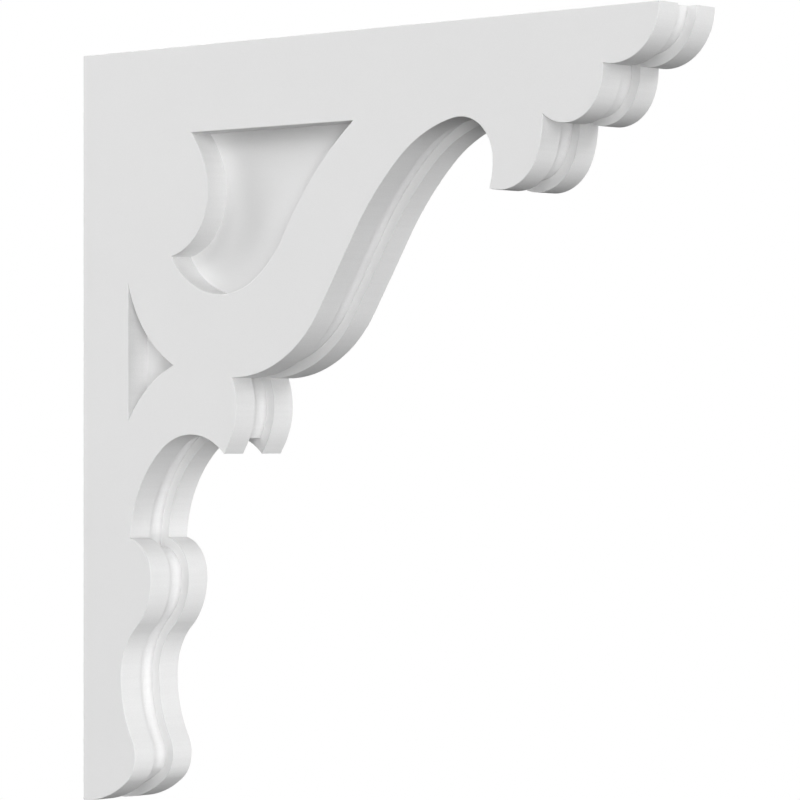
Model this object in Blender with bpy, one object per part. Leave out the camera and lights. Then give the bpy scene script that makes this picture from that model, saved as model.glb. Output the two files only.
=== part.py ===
"""White scroll corbel for a wall, glued up from three flat boards.

Two side boards share one sawn profile and two cut-outs. The plain middle board between them
has the same profile set back all along its front, which leaves a groove down the edge of the
corbel and a floor in each cut-out.

Frame: +X out from the wall, +Z up, +Y to the left of someone who looks out from the wall. The
origin is the centre of the flat back, which lies in the plane X = 0. Lengths are in metres.
"""

import math
from collections import namedtuple
from dataclasses import dataclass

import bmesh
import bpy
from mathutils import Vector

# Overall size of the corbel
HEIGHT = 0.6096
PROJECTION = 0.6096

# Boards and the glue lines between them
BOARD_THICKNESS = 0.0210
GLUE_GAP = 0.0003

# Set-back of the middle board's profile behind the side boards' profile
MIDDLE_SET_BACK = 0.0083

# Straight margins left around the cut-outs
TOP_RAIL_DEPTH = 0.0694
BACK_STILE_WIDTH = 0.0538

# Greatest distance between a drawn curve and the straight steps that follow it
CURVE_TOLERANCE = 0.00004

# Joints of a profile that turn less than this are smooth, and the others are corners
SMOOTH_JOINT_ANGLE = math.radians(8.0)

# Shading: faces that meet at more than this are a sharp edge
SHARP_EDGE_ANGLE = math.radians(30.0)

# White board, through its whole thickness
BOARD_COLOUR = (0.86, 0.86, 0.86, 1.0)
BOARD_ROUGHNESS = 0.45

# The profile is a free form, drawn as shares of the projection (out) and of the height (down
# from the top). Each run is one arc to that point. Its bow is its rise over its chord, positive
# where it swells to the left of the way it runs: out of the board on the front profile.
Run = namedtuple("Run", "out down bow")

TOP_SCROLL = [
    Run(out=0.9136, down=0.0672, bow=0.239),
]
MIDDLE_SCROLL = [
    Run(out=0.9059, down=0.1033, bow=0.061),
    Run(out=0.8184, down=0.1221, bow=0.244),
]
LOWER_SCROLL = [
    Run(out=0.8101, down=0.1712, bow=0.052),
    Run(out=0.7325, down=0.2083, bow=0.198),
]
UNDERSIDE_OF_ARM = [
    Run(out=0.7379, down=0.1727, bow=-0.041),
    Run(out=0.6730, down=0.1197, bow=-0.233),
    Run(out=0.5796, down=0.1661, bow=-0.069),
    Run(out=0.5035, down=0.2561, bow=-0.033),
    Run(out=0.4423, down=0.3510, bow=0.001),
    Run(out=0.2854, down=0.4350, bow=0.130),
]
SPUR = [
    Run(out=0.2811, down=0.5171, bow=0.120),
    Run(out=0.2704, down=0.5338, bow=0.012),
]
SMALL_ARCH = [
    Run(out=0.1503, down=0.5303, bow=-0.192),
    Run(out=0.0923, down=0.6466, bow=-0.104),
]
FOOT = [
    Run(out=0.1319, down=0.6934, bow=0.166),
    Run(out=0.1022, down=0.7661, bow=0.116),
    Run(out=0.0747, down=0.8216, bow=-0.097),
    Run(out=0.0956, down=0.9143, bow=-0.075),
    Run(out=0.0855, down=0.9707, bow=0.182),
    Run(out=0.0, down=1.0, bow=0.083),
]
FRONT_PROFILE = TOP_SCROLL + MIDDLE_SCROLL + LOWER_SCROLL + UNDERSIDE_OF_ARM + SPUR + SMALL_ARCH + FOOT

# Upper cut-out: the ends of its straight top under the rail, and the runs from its back end
# round to its front end
UPPER_CUT_BACK = 0.2090
UPPER_CUT_FRONT = 0.5022
UPPER_CUT_BELLY = [
    Run(out=0.2400, down=0.1810, bow=0.081),
    Run(out=0.1719, down=0.2746, bow=0.195),
    Run(out=0.3242, down=0.3099, bow=-0.207),
    Run(out=0.3783, down=0.2548, bow=-0.059),
]
UPPER_CUT_LAST_BOW = 0.046

# Lower cut-out: the ends of its straight back along the stile, and its tip between two arcs
LOWER_CUT_TOP = 0.3084
LOWER_CUT_BOTTOM = 0.4910
LOWER_CUT_TIP = Run(out=0.1753, down=0.4180, bow=-0.107)
LOWER_CUT_LAST_BOW = -0.084


def on_board(out, down):
    """Point of the board's face: a share of the projection out and of the height down."""
    return Vector((out * PROJECTION, (0.5 - down) * HEIGHT))


@dataclass
class Arc:
    """Arc from start to end. Its bow is its rise over its chord, positive to its left."""

    start: Vector
    end: Vector
    bow: float

    @property
    def sweep(self):
        """Angle that the arc turns through, positive to the right."""
        return 4.0 * math.atan(2.0 * self.bow)

    @property
    def radius(self):
        return (self.end - self.start).length / (2.0 * math.sin(abs(self.sweep) / 2.0))

    @property
    def centre(self):
        chord = self.end - self.start
        left = Vector((-chord.y, chord.x)).normalized()
        depth = math.copysign(self.radius * math.cos(self.sweep / 2.0), self.bow)
        return (self.start + self.end) / 2.0 - left * depth

    def left_at(self, point):
        """Unit vector across the arc at a point of it, to its left."""
        return (point - self.centre).normalized() * math.copysign(1.0, self.bow)

    def points(self):
        """Points along the arc after its start, close enough to follow its curve."""
        flattest_step = 2.0 * math.acos(max(0.0, 1.0 - CURVE_TOLERANCE / self.radius))
        steps = max(1, math.ceil(abs(self.sweep) / flattest_step))
        spoke = self.start - self.centre
        turned = []
        for step in range(1, steps):
            angle = -self.sweep * step / steps
            cos, sin = math.cos(angle), math.sin(angle)
            turned.append(self.centre + Vector((spoke.x * cos - spoke.y * sin, spoke.x * sin + spoke.y * cos)))
        return turned + [self.end]


def arcs_through(start, runs):
    """Arcs that follow the runs one after another from a start point."""
    arcs = []
    for run in runs:
        end = on_board(run.out, run.down)
        arcs.append(Arc(start, end, run.bow))
        start = end
    return arcs


def trace(arcs):
    """All points along a chain of arcs, with its start."""
    return [arcs[0].start] + [point for arc in arcs for point in arc.points()]


def front_profile():
    """The side boards' profile, from the top front corner down to the foot at the wall."""
    return arcs_through(on_board(1.0, 0.0), FRONT_PROFILE)


def set_back_radius(arc):
    """Radius of an arc after it moves into the board, to the right of the way it runs."""
    return arc.radius - math.copysign(MIDDLE_SET_BACK, arc.bow)


def set_back_joint(before, after):
    """Where two neighbouring arcs join after both move into the board."""
    joint = before.end
    left_before = before.left_at(joint)
    left_after = after.left_at(joint)
    mitre = (left_before + left_after) / (1.0 + left_before.dot(left_after))
    mitred = joint - mitre * MIDDLE_SET_BACK
    if left_before.angle(left_after) < SMOOTH_JOINT_ANGLE:
        return mitred
    spacing = after.centre - before.centre
    radius = set_back_radius(before)
    along = (radius ** 2 - set_back_radius(after) ** 2 + spacing.length_squared) / (2.0 * spacing.length)
    aside = math.sqrt(max(0.0, radius ** 2 - along ** 2))
    unit = spacing.normalized()
    foot = before.centre + unit * along
    across = Vector((-unit.y, unit.x)) * aside
    return min((foot + across, foot - across), key=lambda crossing: (crossing - mitred).length)


def set_back_top(arc):
    """Where the first arc meets the top edge after it moves into the board."""
    level = arc.start.y
    reach = math.sqrt(max(0.0, set_back_radius(arc) ** 2 - (level - arc.centre.y) ** 2))
    return Vector((arc.centre.x + reach, level))


def set_back_foot(arc):
    """Where the last arc meets the wall after it moves into the board."""
    wall = arc.end.x
    reach = math.sqrt(max(0.0, set_back_radius(arc) ** 2 - (wall - arc.centre.x) ** 2))
    return Vector((wall, arc.centre.y - reach))


def set_back_profile():
    """The middle board's profile: the side boards' profile moved into the board all along."""
    arcs = front_profile()
    joints = [set_back_joint(before, after) for before, after in zip(arcs, arcs[1:])]
    ends = [set_back_top(arcs[0])] + joints + [set_back_foot(arcs[-1])]
    moved = []
    for arc, start, end in zip(arcs, ends, ends[1:]):
        sweep = (start - arc.centre).angle(end - arc.centre)
        moved.append(Arc(start, end, math.copysign(math.tan(sweep / 4.0) / 2.0, arc.bow)))
    return moved


def board_outline(profile):
    """Closed outline of a board: its profile, then up the wall and out along the top."""
    return trace(profile) + [on_board(0.0, 0.0)]


def upper_cut_outline():
    """Closed outline of the cut-out between the arm's rail and its long brace."""
    rail = HEIGHT / 2.0 - TOP_RAIL_DEPTH
    back = Vector((UPPER_CUT_BACK * PROJECTION, rail))
    front = Vector((UPPER_CUT_FRONT * PROJECTION, rail))
    arcs = arcs_through(back, UPPER_CUT_BELLY)
    arcs.append(Arc(arcs[-1].end, front, UPPER_CUT_LAST_BOW))
    return trace(arcs)


def lower_cut_outline():
    """Closed outline of the small cut-out beside the stile at the wall."""
    top = Vector((BACK_STILE_WIDTH, on_board(0.0, LOWER_CUT_TOP).y))
    bottom = Vector((BACK_STILE_WIDTH, on_board(0.0, LOWER_CUT_BOTTOM).y))
    arcs = arcs_through(top, [LOWER_CUT_TIP])
    arcs.append(Arc(arcs[-1].end, bottom, LOWER_CUT_LAST_BOW))
    return trace(arcs)


def remove_scene_objects():
    """Empty the scene of what a new file holds."""
    for leftover in list(bpy.data.objects):
        bpy.data.objects.remove(leftover, do_unlink=True)


def white_board(name):
    """Satin white material of one board."""
    material = bpy.data.materials.new(name)
    material.use_nodes = True
    shader = material.node_tree.nodes["Principled BSDF"]
    shader.inputs["Base Color"].default_value = BOARD_COLOUR
    shader.inputs["Roughness"].default_value = BOARD_ROUGHNESS
    shader.inputs["Metallic"].default_value = 0.0
    material.diffuse_color = BOARD_COLOUR
    return material


def add_board(name, outlines, offset, collection, parent):
    """One flat board: its outline and cut-outs filled in the XZ plane, centred on Y = offset."""
    drawing = bpy.data.curves.new(name + "_drawing", "CURVE")
    drawing.dimensions = "2D"
    drawing.fill_mode = "BOTH"
    drawing.extrude = BOARD_THICKNESS / 2.0
    for outline in outlines:
        spline = drawing.splines.new("POLY")
        spline.points.add(len(outline) - 1)
        for knot, point in zip(spline.points, outline):
            knot.co = (point.x, point.y, 0.0, 1.0)
        spline.use_cyclic_u = True
    drawn = bpy.data.objects.new(name + "_drawing", drawing)
    drawn.rotation_euler = (math.pi / 2.0, 0.0, 0.0)
    drawn.location = (0.0, offset, 0.0)
    collection.objects.link(drawn)
    bpy.context.view_layer.update()

    evaluated = drawn.evaluated_get(bpy.context.evaluated_depsgraph_get())
    mesh = bpy.data.meshes.new_from_object(evaluated)
    mesh.name = name
    board = bpy.data.objects.new(name, mesh)
    board.matrix_world = drawn.matrix_world.copy()
    collection.objects.link(board)
    bpy.data.objects.remove(drawn, do_unlink=True)

    welded = bmesh.new()
    welded.from_mesh(mesh)
    bmesh.ops.remove_doubles(welded, verts=welded.verts, dist=0.00001)
    bmesh.ops.recalc_face_normals(welded, faces=welded.faces)
    welded.to_mesh(mesh)
    welded.free()
    mesh.shade_smooth()
    mesh.set_sharp_from_angle(angle=SHARP_EDGE_ANGLE)
    mesh.materials.clear()
    mesh.materials.append(white_board(name + "_white"))
    board.parent = parent
    return board


def build():
    """Build the three boards of the corbel."""
    remove_scene_objects()
    collection = bpy.data.collections.new("corbel")
    bpy.context.scene.collection.children.link(collection)
    back_centre = bpy.data.objects.new("back_centre", None)
    collection.objects.link(back_centre)

    side_outlines = [board_outline(front_profile()), upper_cut_outline(), lower_cut_outline()]
    middle_outlines = [board_outline(set_back_profile())]
    spacing = BOARD_THICKNESS + GLUE_GAP
    add_board("left_side_board", side_outlines, spacing, collection, back_centre)
    add_board("middle_board", middle_outlines, 0.0, collection, back_centre)
    add_board("right_side_board", side_outlines, -spacing, collection, back_centre)


build()
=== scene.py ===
"""Looks of a white scroll corbel for a wall, glued up from three flat boards.

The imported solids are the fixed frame. Each board is dressed by a piece of its own: the same
shape with eased arrises, closed glue lines and the fine skin and cutter marks of a foamed
white sheet. +X points out from the wall, +Z up, and the wall is the plane X = 0. Lengths are
in metres.
"""

import logging
import math
from dataclasses import dataclass, field
from enum import Enum

import bmesh
import bpy
import numpy as np
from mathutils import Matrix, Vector


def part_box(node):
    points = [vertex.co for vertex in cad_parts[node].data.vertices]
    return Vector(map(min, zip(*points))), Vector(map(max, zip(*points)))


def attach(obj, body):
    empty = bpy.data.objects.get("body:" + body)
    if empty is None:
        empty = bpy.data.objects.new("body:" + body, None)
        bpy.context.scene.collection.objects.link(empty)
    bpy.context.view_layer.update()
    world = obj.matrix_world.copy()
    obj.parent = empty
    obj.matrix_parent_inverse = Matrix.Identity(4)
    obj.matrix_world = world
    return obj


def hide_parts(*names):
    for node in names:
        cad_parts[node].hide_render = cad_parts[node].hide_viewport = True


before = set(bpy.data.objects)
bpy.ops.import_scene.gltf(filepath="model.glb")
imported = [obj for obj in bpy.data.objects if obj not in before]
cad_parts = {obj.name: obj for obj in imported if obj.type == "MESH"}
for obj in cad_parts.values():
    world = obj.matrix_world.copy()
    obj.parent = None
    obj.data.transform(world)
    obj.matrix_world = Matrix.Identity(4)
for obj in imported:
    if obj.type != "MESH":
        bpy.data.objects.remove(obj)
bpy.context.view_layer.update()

BODY = "root"

# Attribute that holds the distance along a cut edge
ALONG_CUT = "along_cut"

# Attribute in which a solid's mesh keeps the normals that its loose triangles had
SOLID_NORMALS = "custom_normal"

log = logging.getLogger("corbel")


class BoardPlace(Enum):
    """Place of a board in the stack: the side of the stack that its bare face looks to."""

    LEFT = 1
    MIDDLE = 0
    RIGHT = -1


class Surface(Enum):
    """Kinds of surface on a board. The value is the number of its material slot."""

    SHEET_FACE = 0
    CUT_EDGE = 1


class ShaderGraph:
    """Node tree of one material, with its nodes added and linked in short calls."""

    # Most of a noise lies between these two values
    NOISE_LOW = 0.3
    NOISE_HIGH = 0.7

    # How strongly each finer layer of a noise shows, in space and along a line
    SPACE_LAYER_SHARE = 0.55
    LINE_LAYER_SHARE = 0.50

    def __init__(self, name: str) -> None:
        """Start a material that holds a Principled shader alone.

        Args:
            name: name of the new material.
        """
        self.material = bpy.data.materials.new(name)
        self.material.use_nodes = True
        self.tree = self.material.node_tree
        self.shader = self.tree.nodes["Principled BSDF"]

    def add(
        self,
        kind: str,
        inputs: dict[str | int, object] | None = None,
        **settings: object,
    ) -> bpy.types.Node:
        """Add a node.

        Args:
            kind: type name of the node, without its ShaderNode prefix.
            inputs: each input's name or number, with its value or the socket that feeds it.
            settings: properties of the node itself.

        Returns:
            The new node.
        """
        node = self.tree.nodes.new("ShaderNode" + kind)
        for setting, value in settings.items():
            setattr(node, setting, value)
        for name, value in (inputs or {}).items():
            self.feed(node.inputs[name], value)
        return node

    def feed(self, socket: bpy.types.NodeSocket, value: object) -> None:
        """Link an output socket to an input socket, or set the input to a plain value.

        Args:
            socket: the input socket.
            value: an output socket or a plain value.
        """
        if isinstance(value, bpy.types.NodeSocket):
            self.tree.links.new(value, socket)
        else:
            socket.default_value = value

    def between(
        self,
        noise: bpy.types.NodeSocket,
        low: float,
        high: float,
    ) -> bpy.types.NodeSocket:
        """Spread a noise between two numbers.

        Args:
            noise: output socket of the noise.
            low: result where the noise is low.
            high: result where the noise is high.

        Returns:
            Output socket with the result.
        """
        inputs = {
            "Value": noise,
            "From Min": self.NOISE_LOW,
            "From Max": self.NOISE_HIGH,
            "To Min": low,
            "To Max": high,
        }
        return self.add("MapRange", inputs, clamp=True).outputs["Result"]

    def noise(
        self,
        place: bpy.types.NodeSocket,
        size: float,
        detail: float,
    ) -> bpy.types.NodeSocket:
        """Add noise in space.

        Args:
            place: coordinates in metres.
            size: width of its features in metres.
            detail: number of finer layers on it.

        Returns:
            Output socket with the noise, from 0 to 1.
        """
        inputs = {
            "Vector": place,
            "Scale": 1.0 / size,
            "Detail": detail,
            "Roughness": self.SPACE_LAYER_SHARE,
        }
        return self.add("TexNoise", inputs).outputs["Fac"]

    def line_noise(
        self,
        along: bpy.types.NodeSocket,
        pitch: float,
        detail: float,
    ) -> bpy.types.NodeSocket:
        """Add noise along a line.

        Args:
            along: distance along the line in metres.
            pitch: width of its features in metres.
            detail: number of finer layers on it.

        Returns:
            Output socket with the noise, from 0 to 1.
        """
        inputs = {
            "W": along,
            "Scale": 1.0 / pitch,
            "Detail": detail,
            "Roughness": self.LINE_LAYER_SHARE,
        }
        return self.add("TexNoise", inputs, noise_dimensions="1D").outputs["Fac"]

    def bump(
        self,
        height: bpy.types.NodeSocket,
        depth: float,
        under: bpy.types.NodeSocket | None = None,
    ) -> bpy.types.NodeSocket:
        """Add relief from a height between 0 and 1.

        Args:
            height: output socket with the height.
            depth: depth of the relief in metres.
            under: normal of coarser relief that this one lies on, if there is any.

        Returns:
            Output socket with the normal.
        """
        node = self.add("Bump", {"Height": height, "Strength": 1.0, "Distance": depth})
        if under is not None:
            self.feed(node.inputs["Normal"], under)
        return node.outputs["Normal"]

    def shaded_grey(
        self,
        tone: bpy.types.NodeSocket,
        shade: bpy.types.NodeSocket,
    ) -> bpy.types.NodeSocket:
        """Make a neutral colour from a tone and a finer shade on it.

        Args:
            tone: output socket with the tone, from 0 for black to 1 for white.
            shade: output socket with a factor on the tone, close to 1.

        Returns:
            Output socket with the colour.
        """
        grey = self.add("Math", {0: tone, 1: shade}, operation="MULTIPLY").outputs["Value"]
        colour = self.add("CombineColor", {"Red": grey, "Green": grey, "Blue": grey})
        return colour.outputs["Color"]

    def finish(
        self,
        colour: bpy.types.NodeSocket,
        roughness: bpy.types.NodeSocket,
        normal: bpy.types.NodeSocket,
    ) -> bpy.types.Material:
        """Feed the shader.

        Args:
            colour: output socket with the base colour.
            roughness: output socket with the roughness.
            normal: output socket with the normal.

        Returns:
            The finished material.
        """
        self.feed(self.shader.inputs["Base Color"], colour)
        self.feed(self.shader.inputs["Roughness"], roughness)
        self.feed(self.shader.inputs["Normal"], normal)
        return self.material


@dataclass(frozen=True)
class SheetFaceFinish:
    """Rolled face of a foamed white sheet: satin, with a faint ripple and a fine grain."""

    name: str = "white_sheet_face"
    tone_low: float = 0.740
    tone_high: float = 0.750
    cloud_size: float = 0.090
    cloud_detail: float = 3.0
    roughness_low: float = 0.43
    roughness_high: float = 0.51
    gloss_patch_size: float = 0.012
    gloss_patch_detail: float = 2.0
    ripple_size: float = 0.0060
    ripple_detail: float = 1.0
    ripple_depth: float = 0.000010
    grain_size: float = 0.0008
    grain_detail: float = 2.0
    grain_depth: float = 0.000012
    grain_shade_low: float = 0.985
    grain_shade_high: float = 1.010

    def material(self) -> bpy.types.Material:
        """Build the material.

        Returns:
            The new material.
        """
        graph = ShaderGraph(self.name)
        place = graph.add("TexCoord").outputs["Object"]
        clouds = graph.noise(place, self.cloud_size, self.cloud_detail)
        tone = graph.between(clouds, self.tone_low, self.tone_high)
        grain = graph.noise(place, self.grain_size, self.grain_detail)
        shade = graph.between(grain, self.grain_shade_low, self.grain_shade_high)
        patches = graph.noise(place, self.gloss_patch_size, self.gloss_patch_detail)
        roughness = graph.between(patches, self.roughness_low, self.roughness_high)
        ripple = graph.noise(place, self.ripple_size, self.ripple_detail)
        relief = graph.bump(grain, self.grain_depth, graph.bump(ripple, self.ripple_depth))
        return graph.finish(graph.shaded_grey(tone, shade), roughness, relief)


@dataclass(frozen=True)
class CutEdgeFinish:
    """Edge that a cutter left: the same white, more matt, with marks across it and open pores."""

    name: str = "white_cut_edge"
    tone_low: float = 0.737
    tone_high: float = 0.752
    streak_pitch: float = 0.0045
    streak_detail: float = 2.0
    roughness_low: float = 0.52
    roughness_high: float = 0.62
    mark_pitch: float = 0.0016
    mark_detail: float = 1.0
    mark_depth: float = 0.000010
    pore_size: float = 0.00050
    pore_detail: float = 2.0
    pore_depth: float = 0.000012
    pore_shade_low: float = 0.94
    pore_shade_high: float = 1.03

    def material(self) -> bpy.types.Material:
        """Build the material. Its marks follow the distance along the cut.

        Returns:
            The new material.
        """
        graph = ShaderGraph(self.name)
        place = graph.add("TexCoord").outputs["Object"]
        cut = graph.add("Attribute", attribute_type="GEOMETRY", attribute_name=ALONG_CUT)
        along = cut.outputs["Fac"]
        streaks = graph.line_noise(along, self.streak_pitch, self.streak_detail)
        tone = graph.between(streaks, self.tone_low, self.tone_high)
        pores = graph.noise(place, self.pore_size, self.pore_detail)
        shade = graph.between(pores, self.pore_shade_low, self.pore_shade_high)
        marks = graph.line_noise(along, self.mark_pitch, self.mark_detail)
        roughness = graph.between(marks, self.roughness_low, self.roughness_high)
        relief = graph.bump(pores, self.pore_depth, graph.bump(marks, self.mark_depth))
        return graph.finish(graph.shaded_grey(tone, shade), roughness, relief)


@dataclass
class CutPath:
    """Closed outlines of a board in its own plane, to tell how far along a cut a point lies.

    Each row stands for one straight side: where it starts, its run, its length, the distance
    along the outlines at its start, and the whole length of its outline.
    """

    starts: np.ndarray
    steps: np.ndarray
    lengths: np.ndarray
    offsets: np.ndarray
    rounds: np.ndarray

    @classmethod
    def of_outlines(cls, outlines: list[list[Vector]]) -> "CutPath":
        """Gather closed outlines, one after another.

        Args:
            outlines: points of each closed outline in order.

        Returns:
            The path with every outline's sides.
        """
        starts, steps, lengths, offsets, rounds = [], [], [], [], []
        so_far = 0.0
        for outline in outlines:
            points = np.array([(point.x, point.z) for point in outline])
            sides = np.roll(points, -1, axis=0) - points
            side_lengths = np.hypot(sides[:, 0], sides[:, 1])
            starts.append(points)
            steps.append(sides)
            lengths.append(side_lengths)
            offsets.append(so_far + np.concatenate(([0.0], np.cumsum(side_lengths)[:-1])))
            rounds.append(np.full(len(points), side_lengths.sum()))
            so_far += side_lengths.sum()
        columns = (starts, steps, lengths, offsets, rounds)
        return cls(*(np.concatenate(column) for column in columns))

    def place(self, point: Vector) -> tuple[float, float]:
        """Find the nearest place on the outlines.

        Args:
            point: a point on or near a cut edge.

        Returns:
            Distance along the outlines, and the whole length of the outline that it lies on.
        """
        away = np.array((point.x, point.z)) - self.starts
        share = np.clip((away * self.steps).sum(axis=1) / self.lengths ** 2, 0.0, 1.0)
        missed = away - self.steps * share[:, None]
        side = int(np.argmin((missed ** 2).sum(axis=1)))
        along = self.offsets[side] + share[side] * self.lengths[side]
        return float(along), float(self.rounds[side])


@dataclass
class Board:
    """One board of the corbel, dressed: a cleaned copy of its solid with eased arrises."""

    name: str
    node: str
    place: BoardPlace
    slot: str
    glue_gap: float = 0.0003
    arris: float = 0.0005
    arris_steps: int = 3
    seam_ease: float = 0.00025
    seam_steps: int = 1
    weld: float = 0.000001
    flat_angle: float = math.radians(0.1)
    corner_angle: float = math.radians(20.0)
    sharp_angle: float = math.radians(50.0)
    largest_face_weight: int = 100
    piece: bpy.types.Object = field(init=False, default=None)

    def build(self) -> bpy.types.Object:
        """Make the board's piece from its solid.

        Returns:
            The new object, which rides on the body and stands for the solid.
        """
        work = self.clean_copy()
        self.sort_surfaces(work)
        path = CutPath.of_outlines(self.outlines(work))
        self.ease(work)
        self.mark_cut_lengths(work, path)
        self.mark_sharp_edges(work)
        self.order_faces(work)
        self.piece = self.finished_object(work)
        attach(self.piece, BODY)
        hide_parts(self.node)
        return self.piece

    def clean_copy(self) -> bmesh.types.BMesh:
        """Copy the solid as one closed mesh with its glue lines closed.

        Returns:
            The new mesh, with one face for each flat of the solid.
        """
        work = bmesh.new()
        work.from_mesh(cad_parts[self.node].data)
        bmesh.ops.remove_doubles(work, verts=work.verts, dist=self.weld)
        self.close_glue_lines(work)
        bmesh.ops.dissolve_limit(
            work,
            angle_limit=self.flat_angle,
            use_dissolve_boundaries=False,
            verts=work.verts,
            edges=work.edges,
            delimit=set(),
        )
        return work

    def finished_object(self, work: bmesh.types.BMesh) -> bpy.types.Object:
        """Turn the finished mesh into an object that is shaded by its largest faces.

        Args:
            work: the mesh, which is freed.

        Returns:
            The new object.
        """
        mesh = bpy.data.meshes.new(self.name)
        work.to_mesh(mesh)
        work.free()
        if SOLID_NORMALS in mesh.attributes:
            mesh.attributes.remove(mesh.attributes[SOLID_NORMALS])
        piece = bpy.data.objects.new(self.name, mesh)
        bpy.context.scene.collection.objects.link(piece)
        weighted = piece.modifiers.new("face_weighted_normals", "WEIGHTED_NORMAL")
        weighted.mode = "FACE_AREA"
        weighted.weight = self.largest_face_weight
        weighted.keep_sharp = True
        return piece

    def dress(self, sheet_face: bpy.types.Material, cut_edge: bpy.types.Material) -> None:
        """Give the board its two finishes.

        Args:
            sheet_face: material of the two flat faces.
            cut_edge: material of everything that was cut.
        """
        self.piece.data.materials.append(sheet_face)
        self.piece.data.materials.append(cut_edge)

    def glued_planes(self) -> dict[float, float]:
        """Find the board's glued faces.

        Returns:
            Position along Y of each one in the solid, with its position once the glue line is
            closed, which is the middle of the glue line.
        """
        low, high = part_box(self.node)
        left_face, right_face = high.y, low.y
        closed = {
            left_face: left_face + self.glue_gap / 2.0,
            right_face: right_face - self.glue_gap / 2.0,
        }
        if self.place is BoardPlace.LEFT:
            del closed[left_face]
        if self.place is BoardPlace.RIGHT:
            del closed[right_face]
        return closed

    def close_glue_lines(self, work: bmesh.types.BMesh) -> None:
        """Move each glued face out to the middle of its glue line, so that the boards touch.

        Args:
            work: copy of the solid.
        """
        for plane, closed in self.glued_planes().items():
            glued = [vert for vert in work.verts if abs(vert.co.y - plane) < self.weld]
            bmesh.ops.translate(work, verts=glued, vec=(0.0, closed - plane, 0.0))

    def sort_surfaces(self, work: bmesh.types.BMesh) -> None:
        """Set each face's material slot by the kind of surface that it belongs to.

        Args:
            work: mesh of the board before its arrises are eased.
        """
        for face in work.faces:
            across = abs(face.normal.y) > max(abs(face.normal.x), abs(face.normal.z))
            face.material_index = (Surface.SHEET_FACE if across else Surface.CUT_EDGE).value

    def is_arris(self, edge: bmesh.types.BMEdge) -> bool:
        """True where a flat face meets a cut edge."""
        kinds = {face.material_index for face in edge.link_faces}
        return len(kinds) == 2

    def lies_at(self, edge: bmesh.types.BMEdge, axis: int, plane: float) -> bool:
        """True where both ends of the edge lie in a plane across the axis, 0 for X to 2 for Z."""
        return all(abs(vert.co[axis] - plane) < self.weld for vert in edge.verts)

    def outlines(self, work: bmesh.types.BMesh) -> list[list[Vector]]:
        """Walk the closed outlines on one flat face of the board.

        Args:
            work: mesh of the board before its arrises are eased.

        Returns:
            Points of each outline in order.
        """
        left_face = max(vert.co.y for vert in work.verts)
        open_edges = {
            edge for edge in work.edges
            if self.is_arris(edge) and self.lies_at(edge, 1, left_face)
        }
        found = []
        while open_edges:
            edge = min(open_edges, key=lambda candidate: candidate.index)
            vert = edge.verts[0]
            outline = []
            while edge is not None:
                open_edges.discard(edge)
                outline.append(vert.co.copy())
                vert = edge.other_vert(vert)
                edge = next((linked for linked in vert.link_edges if linked in open_edges), None)
            found.append(outline)
        return found

    def ease(self, work: bmesh.types.BMesh) -> None:
        """Round the bare arrises and the corners of the cuts, and ease the seams that show.

        Args:
            work: mesh of the board, with its faces sorted.
        """
        planes = self.glued_planes().values()
        low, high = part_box(self.node)
        wall, top = low.x, high.z

        def glued(edge: bmesh.types.BMEdge) -> bool:
            """True where the edge lies in a glued plane."""
            return any(self.lies_at(edge, 1, plane) for plane in planes)

        def flush(edge: bmesh.types.BMEdge) -> bool:
            """True where the boards end flush with each other: along the top and at the wall."""
            return self.lies_at(edge, 2, top) or self.lies_at(edge, 0, wall)

        bare = [edge for edge in work.edges if self.is_arris(edge) and not glued(edge)]
        corners = [
            edge for edge in work.edges
            if not self.is_arris(edge) and edge.calc_face_angle(0.0) > self.corner_angle
        ]
        self.bevel(work, bare + corners, self.arris, self.arris_steps)
        seams = [
            edge for edge in work.edges
            if self.is_arris(edge) and glued(edge) and flush(edge)
        ]
        self.bevel(work, seams, self.seam_ease, self.seam_steps)

    def bevel(
        self,
        work: bmesh.types.BMesh,
        edges: list[bmesh.types.BMEdge],
        width: float,
        steps: int,
    ) -> None:
        """Bevel edges to a round.

        Args:
            work: mesh that holds them.
            edges: the edges.
            width: width of the bevel on each face.
            steps: number of strips that the round is made of.
        """
        bmesh.ops.bevel(
            work,
            geom=edges,
            offset=width,
            offset_type="OFFSET",
            affect="EDGES",
            segments=steps,
            profile=0.5,
            material=-1,
            clamp_overlap=True,
            loop_slide=True,
        )

    def mark_cut_lengths(self, work: bmesh.types.BMesh, path: CutPath) -> None:
        """Store the distance along the cut at every face corner.

        Args:
            work: finished mesh of the board.
            path: outlines of the board before its arrises were eased.
        """
        layer = work.loops.layers.float.new(ALONG_CUT)
        places = {vert: path.place(vert.co) for vert in work.verts}
        for face in work.faces:
            if face.material_index != Surface.CUT_EDGE.value:
                continue
            furthest = max(places[loop.vert][0] for loop in face.loops)
            for loop in face.loops:
                along, whole = places[loop.vert]
                loop[layer] = along + whole if furthest - along > whole / 2.0 else along

    def mark_sharp_edges(self, work: bmesh.types.BMesh) -> None:
        """Shade the board smooth, apart from its sharp edges.

        Args:
            work: finished mesh of the board.
        """
        for edge in work.edges:
            edge.smooth = edge.calc_face_angle(0.0) < self.sharp_angle
        for face in work.faces:
            face.smooth = True

    def order_faces(self, work: bmesh.types.BMesh) -> None:
        """Put the faces in order of place, since a bevel leaves them in a new order each run.

        Args:
            work: finished mesh of the board.
        """
        by_place = sorted(work.faces, key=lambda face: tuple(face.calc_center_median()))
        for number, face in enumerate(by_place):
            face.index = number
        work.faces.sort()


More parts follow.
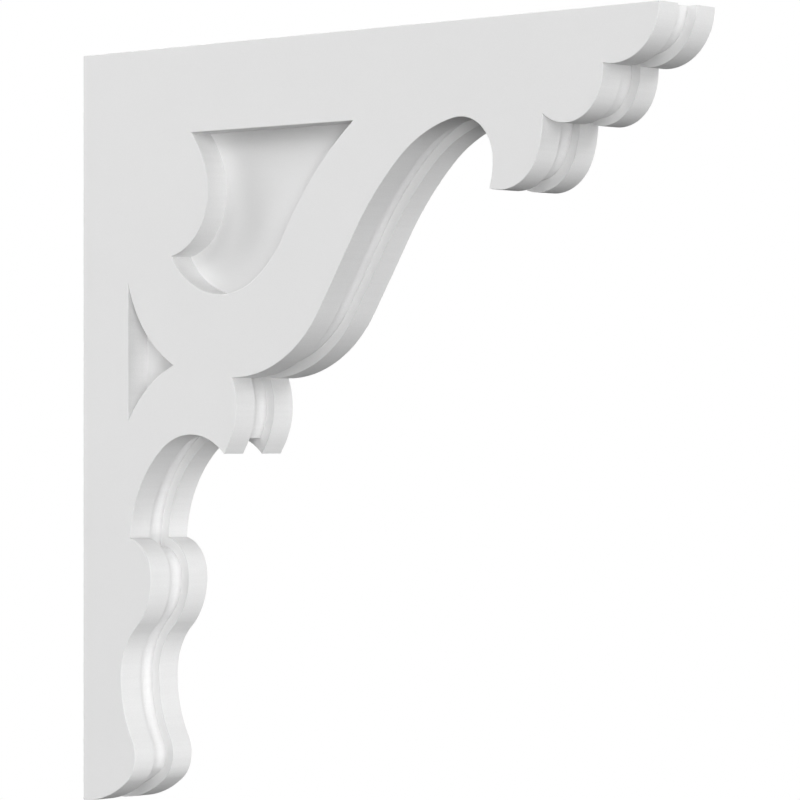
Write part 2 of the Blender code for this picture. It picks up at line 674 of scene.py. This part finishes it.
@dataclass
class Corbel:
    """The whole corbel: two side boards and the set-back middle board between them."""

    boards: list[Board] = field(default_factory=lambda: [
        Board("left_board", "left_side_board", BoardPlace.LEFT, "side_boards"),
        Board("core_board", "middle_board", BoardPlace.MIDDLE, "middle_board"),
        Board("right_board", "right_side_board", BoardPlace.RIGHT, "side_boards"),
    ])
    sheet_face: SheetFaceFinish = SheetFaceFinish()
    cut_edge: CutEdgeFinish = CutEdgeFinish()

    def build(self) -> None:
        """Build every board's piece."""
        for board in self.boards:
            piece = board.build()
            log.info("%s: %d faces", piece.name, len(piece.data.polygons))

    def dress(self) -> None:
        """Give every board the two finishes of the sheet."""
        sheet_face = self.sheet_face.material()
        cut_edge = self.cut_edge.material()
        for board in self.boards:
            board.dress(sheet_face, cut_edge)


@dataclass(frozen=True)
class SoftLight:
    """Wide, even light from far away, like a large diffuser."""

    name: str
    azimuth: float
    elevation: float
    strength: float
    spread: float = 30.0

    def build(self) -> bpy.types.Object:
        """Make the light.

        Returns:
            The new light object. It shines from its azimuth, counted from -Y towards +X, and
            from its elevation above the horizon, in degrees.
        """
        lamp = bpy.data.lights.new(self.name, "SUN")
        lamp.energy = self.strength
        lamp.angle = math.radians(self.spread)
        turn, rise = math.radians(self.azimuth), math.radians(self.elevation)
        level = math.cos(rise)
        towards = Vector((math.sin(turn) * level, -math.cos(turn) * level, math.sin(rise)))
        light = bpy.data.objects.new(self.name, lamp)
        light.rotation_euler = towards.to_track_quat("Z", "Y").to_euler()
        bpy.context.scene.collection.objects.link(light)
        return light


@dataclass
class Studio:
    """Plain white room, far off on all sides, with a pale floor, and its soft lights."""

    room_radius: float = 25.0
    room_sides: int = 64
    room_rings: int = 32
    floor_radius: float = 26.25
    floor_level: float = -5.0
    white: float = 1.0
    ambient: float = 0.01
    lights: list[SoftLight] = field(default_factory=lambda: [
        SoftLight("left_light", -75.0, 10.0, 0.80),
        SoftLight("left_high_light", -75.0, 32.0, 1.90),
        SoftLight("front_high_light", -15.0, 32.0, 0.70),
        SoftLight("camera_side_high_light", 45.0, 32.0, 0.38),
        SoftLight("camera_side_light", 45.0, 10.0, 1.12),
        SoftLight("camera_side_low_light", 45.0, -10.0, 1.24),
        SoftLight("right_high_light", 105.0, 32.0, 1.15),
        SoftLight("right_low_light", 105.0, -32.0, 0.84),
        SoftLight("rear_light", 190.0, 5.0, 1.60),
    ])

    def build(self) -> None:
        """Build the floor and the room, and light them."""
        finish = self.backdrop_material()
        self.add_floor(finish)
        self.add_room(finish)
        self.set_ambient()
        for light in self.lights:
            light.build()

    def backdrop_material(self) -> bpy.types.Material:
        """Make the even white of the floor and the room.

        Returns:
            The new material.
        """
        material = bpy.data.materials.new("studio_white")
        material.use_nodes = True
        nodes, links = material.node_tree.nodes, material.node_tree.links
        nodes.remove(nodes["Principled BSDF"])
        glow = nodes.new("ShaderNodeEmission")
        glow.inputs["Color"].default_value = (self.white, self.white, self.white, 1.0)
        links.new(glow.outputs["Emission"], nodes["Material Output"].inputs["Surface"])
        return material

    def add_floor(self, finish: bpy.types.Material) -> None:
        """Lay the floor, well below the corbel.

        Args:
            finish: its material.
        """
        work = bmesh.new()
        bmesh.ops.create_circle(
            work,
            cap_ends=True,
            segments=self.room_sides,
            radius=self.floor_radius,
        )
        bmesh.ops.translate(work, verts=work.verts, vec=(0.0, 0.0, self.floor_level))
        self.finish_stage(work, "studio_floor", finish)

    def add_room(self, finish: bpy.types.Material) -> None:
        """Close the room above the floor with a dome.

        Args:
            finish: its material.
        """
        work = bmesh.new()
        bmesh.ops.create_uvsphere(
            work,
            u_segments=self.room_sides,
            v_segments=self.room_rings,
            radius=self.room_radius,
        )
        bmesh.ops.bisect_plane(
            work,
            geom=work.verts[:] + work.edges[:] + work.faces[:],
            plane_co=(0.0, 0.0, self.floor_level),
            plane_no=(0.0, 0.0, -1.0),
            clear_outer=True,
        )
        bmesh.ops.reverse_faces(work, faces=work.faces)
        self.finish_stage(work, "studio_room", finish)

    def finish_stage(self, work: bmesh.types.BMesh, name: str, finish: bpy.types.Material) -> None:
        """Turn a mesh into a part of the stage that the camera sees and that lights nothing.

        Args:
            work: the mesh, which is freed.
            name: name of the new object.
            finish: its material.
        """
        mesh = bpy.data.meshes.new(name)
        work.to_mesh(mesh)
        work.free()
        mesh.materials.append(finish)
        stage = bpy.data.objects.new(name, mesh)
        bpy.context.scene.collection.objects.link(stage)
        for kind_of_ray in ("diffuse", "glossy", "transmission", "shadow"):
            setattr(stage, "visible_" + kind_of_ray, False)
        log.info("%s: part of the stage", name)

    def set_ambient(self) -> None:
        """Fill the air with a low even light."""
        world = bpy.data.worlds.new("studio_air")
        world.use_nodes = True
        background = world.node_tree.nodes["Background"]
        background.inputs["Color"].default_value = (self.white, self.white, self.white, 1.0)
        background.inputs["Strength"].default_value = self.ambient
        bpy.context.scene.world = world
        bpy.context.scene.view_settings.view_transform = "Standard"


@dataclass(frozen=True)
class LevelCamera:
    """Level camera in front of the corbel's right side, at mid height, like the photograph's."""

    position: tuple[float, float, float] = (2.38687, -2.19282, 0.0)
    azimuth: float = 43.2217
    lens: float = 176.277
    sensor: float = 36.0
    rise: float = 0.03495

    def build(self) -> bpy.types.Object:
        """Make the camera and use it for the scene.

        Returns:
            The new camera object.
        """
        data = bpy.data.cameras.new("level_camera")
        data.sensor_width = self.sensor
        data.lens = self.lens
        data.shift_y = self.rise
        camera = bpy.data.objects.new("level_camera", data)
        camera.location = self.position
        camera.rotation_euler = (math.pi / 2.0, 0.0, math.radians(self.azimuth))
        bpy.context.scene.collection.objects.link(camera)
        bpy.context.scene.camera = camera
        return camera


def main() -> None:
    """Build and dress the corbel, then the studio and the camera."""
    logging.basicConfig(level=logging.INFO, format="%(name)s: %(message)s")
    corbel = Corbel()
    corbel.build()
    corbel.dress()
    Studio().build()
    LevelCamera().build()


if __name__ == "__main__":
    main()
